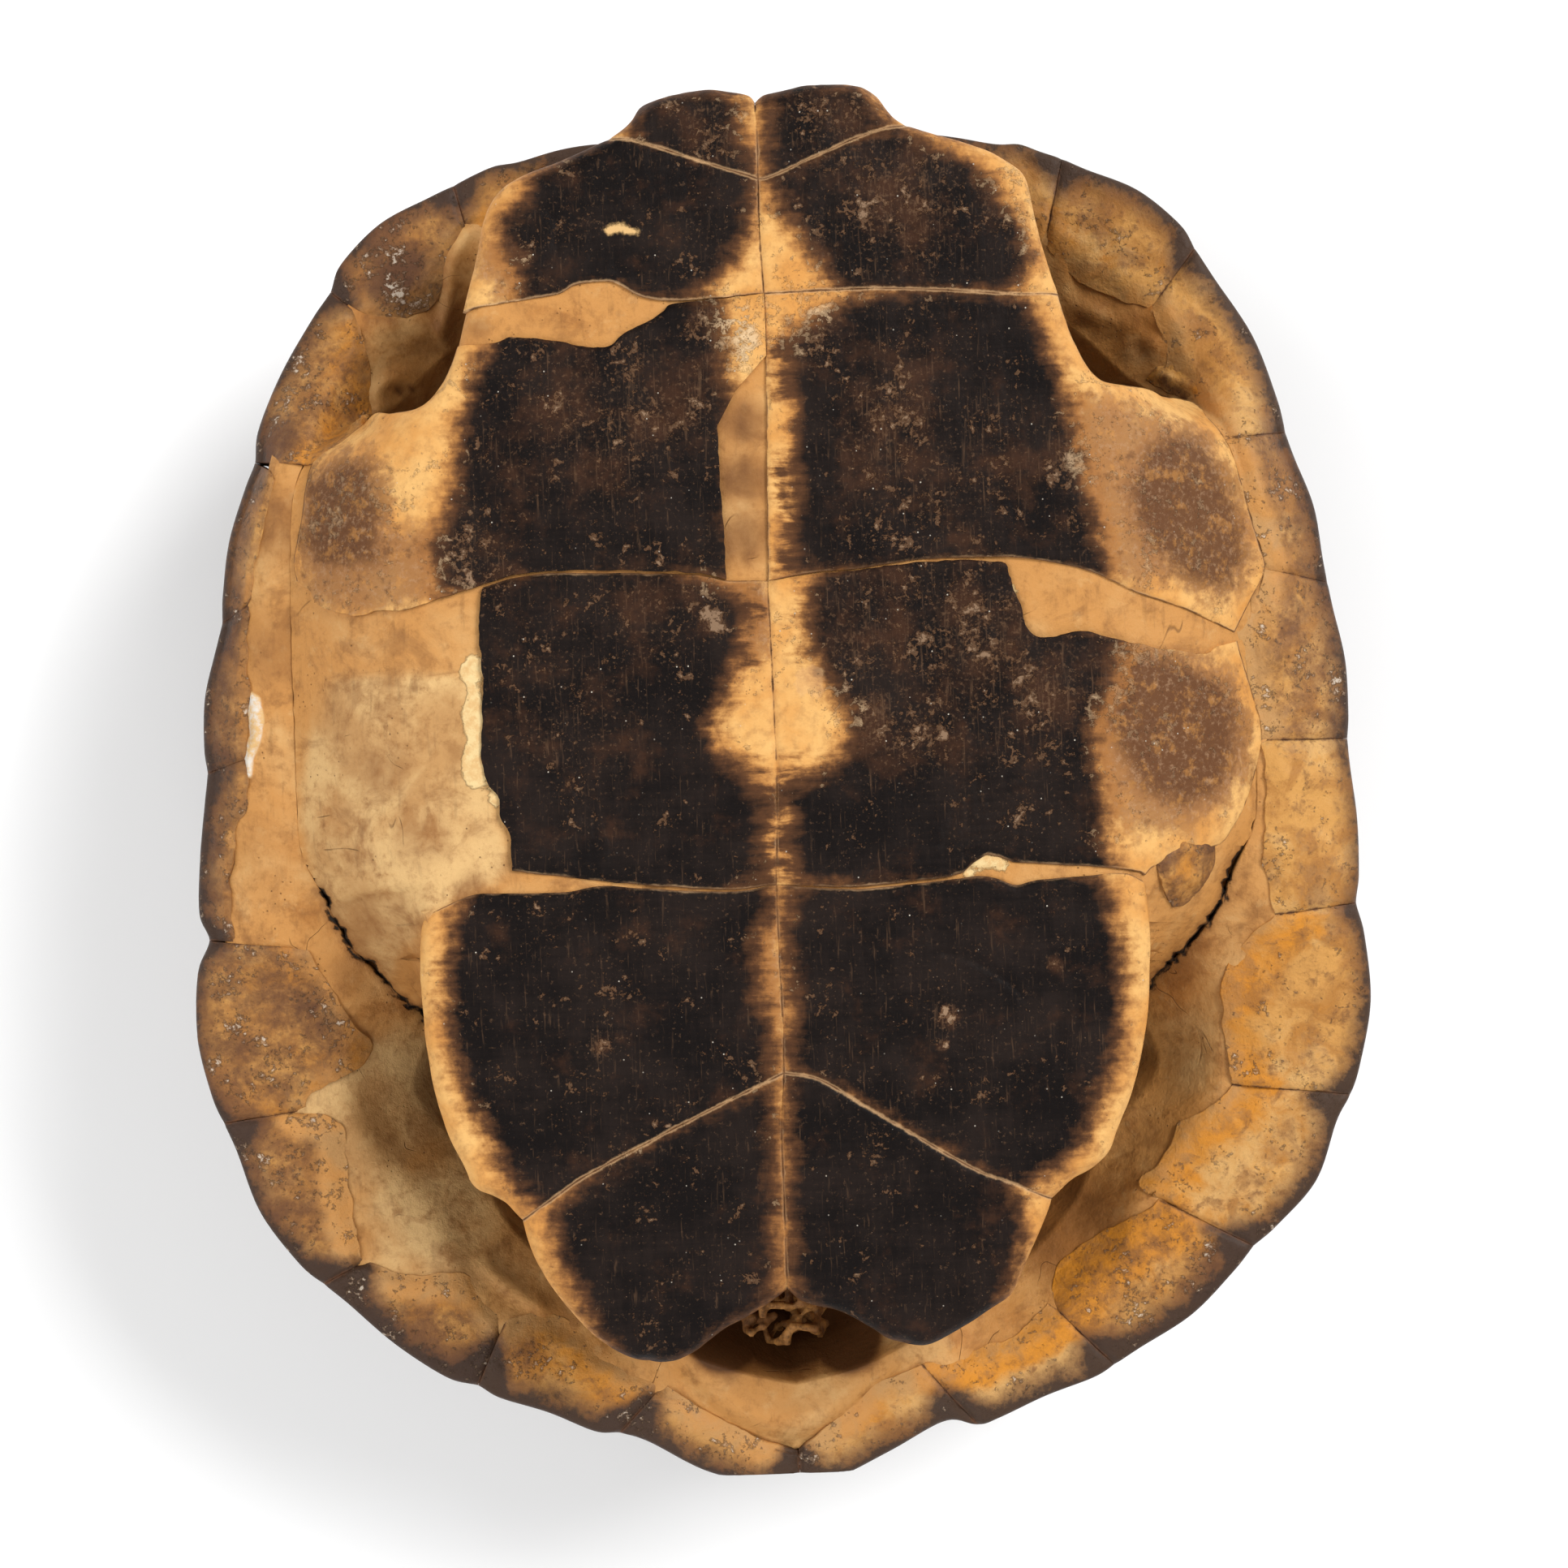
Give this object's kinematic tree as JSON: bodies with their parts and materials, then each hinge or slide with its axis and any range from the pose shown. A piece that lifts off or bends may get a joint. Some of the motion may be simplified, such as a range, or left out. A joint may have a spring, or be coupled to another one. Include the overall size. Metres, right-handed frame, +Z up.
{
  "type": "tortoise shell",
  "caption": "Empty tortoise shell lying on its domed back, belly plate up, with openings for head, legs and tail; horn shields over bone, some peeled off to bare bone",
  "frame": {"origin": "on the ground under the middle of the shell, at the worn crown of the dome it lies on", "axes": "+Z up, out of the belly plate; +Y towards the head opening; +X to the right in the picture"},
  "size_m": [0.1494, 0.1746, 0.0639],
  "materials": {
    "bone": "dry, slightly porous tan bone with fine cracks",
    "belly_horn": "near-black horn with growth lines, fading to yellow ochre at its outer edges",
    "rim_horn": "translucent amber horn with a dark brown edge",
    "back_horn": "dark brown horn with growth rings"
  },
  "bodies": {
    "root": {"carapace_bone": "bone", "plastron_bone": "bone", "tail_vertebra": "bone", "gular_left": "belly_horn", "humeral_left": "belly_horn", "pectoral_left": "belly_horn", "abdominal_left": "belly_horn", "femoral_left": "belly_horn", "anal_left": "belly_horn", "gular_right": "belly_horn", "humeral_right": "belly_horn", "pectoral_right": "belly_horn", "abdominal_right": "belly_horn", "femoral_right": "belly_horn", "anal_right": "belly_horn", "inguinal_right": "rim_horn", "axillary_right": "rim_horn", "cervical": "rim_horn", "marginal_left_01": "rim_horn", "marginal_left_02": "rim_horn", "marginal_left_03": "rim_horn", "marginal_left_04": "rim_horn", "marginal_left_05": "rim_horn", "marginal_left_06": "rim_horn", "marginal_left_07": "rim_horn", "marginal_left_08": "rim_horn", "marginal_left_09": "rim_horn", "marginal_left_10": "rim_horn", "marginal_left_11": "rim_horn", "marginal_left_12": "rim_horn", "marginal_right_01": "rim_horn", "marginal_right_02": "rim_horn", "marginal_right_03": "rim_horn", "marginal_right_04": "rim_horn", "marginal_right_05": "rim_horn", "marginal_right_06": "rim_horn", "marginal_right_07": "rim_horn", "marginal_right_08": "rim_horn", "marginal_right_09": "rim_horn", "marginal_right_10": "rim_horn", "marginal_right_11": "rim_horn", "marginal_right_12": "rim_horn", "vertebral_1": "back_horn", "vertebral_2": "back_horn", "vertebral_3": "back_horn", "vertebral_4": "back_horn", "vertebral_5": "back_horn", "costal_left_1": "back_horn", "costal_left_2": "back_horn", "costal_left_3": "back_horn", "costal_left_4": "back_horn", "costal_right_1": "back_horn", "costal_right_2": "back_horn", "costal_right_3": "back_horn", "costal_right_4": "back_horn"}
  },
  "joints": []
}
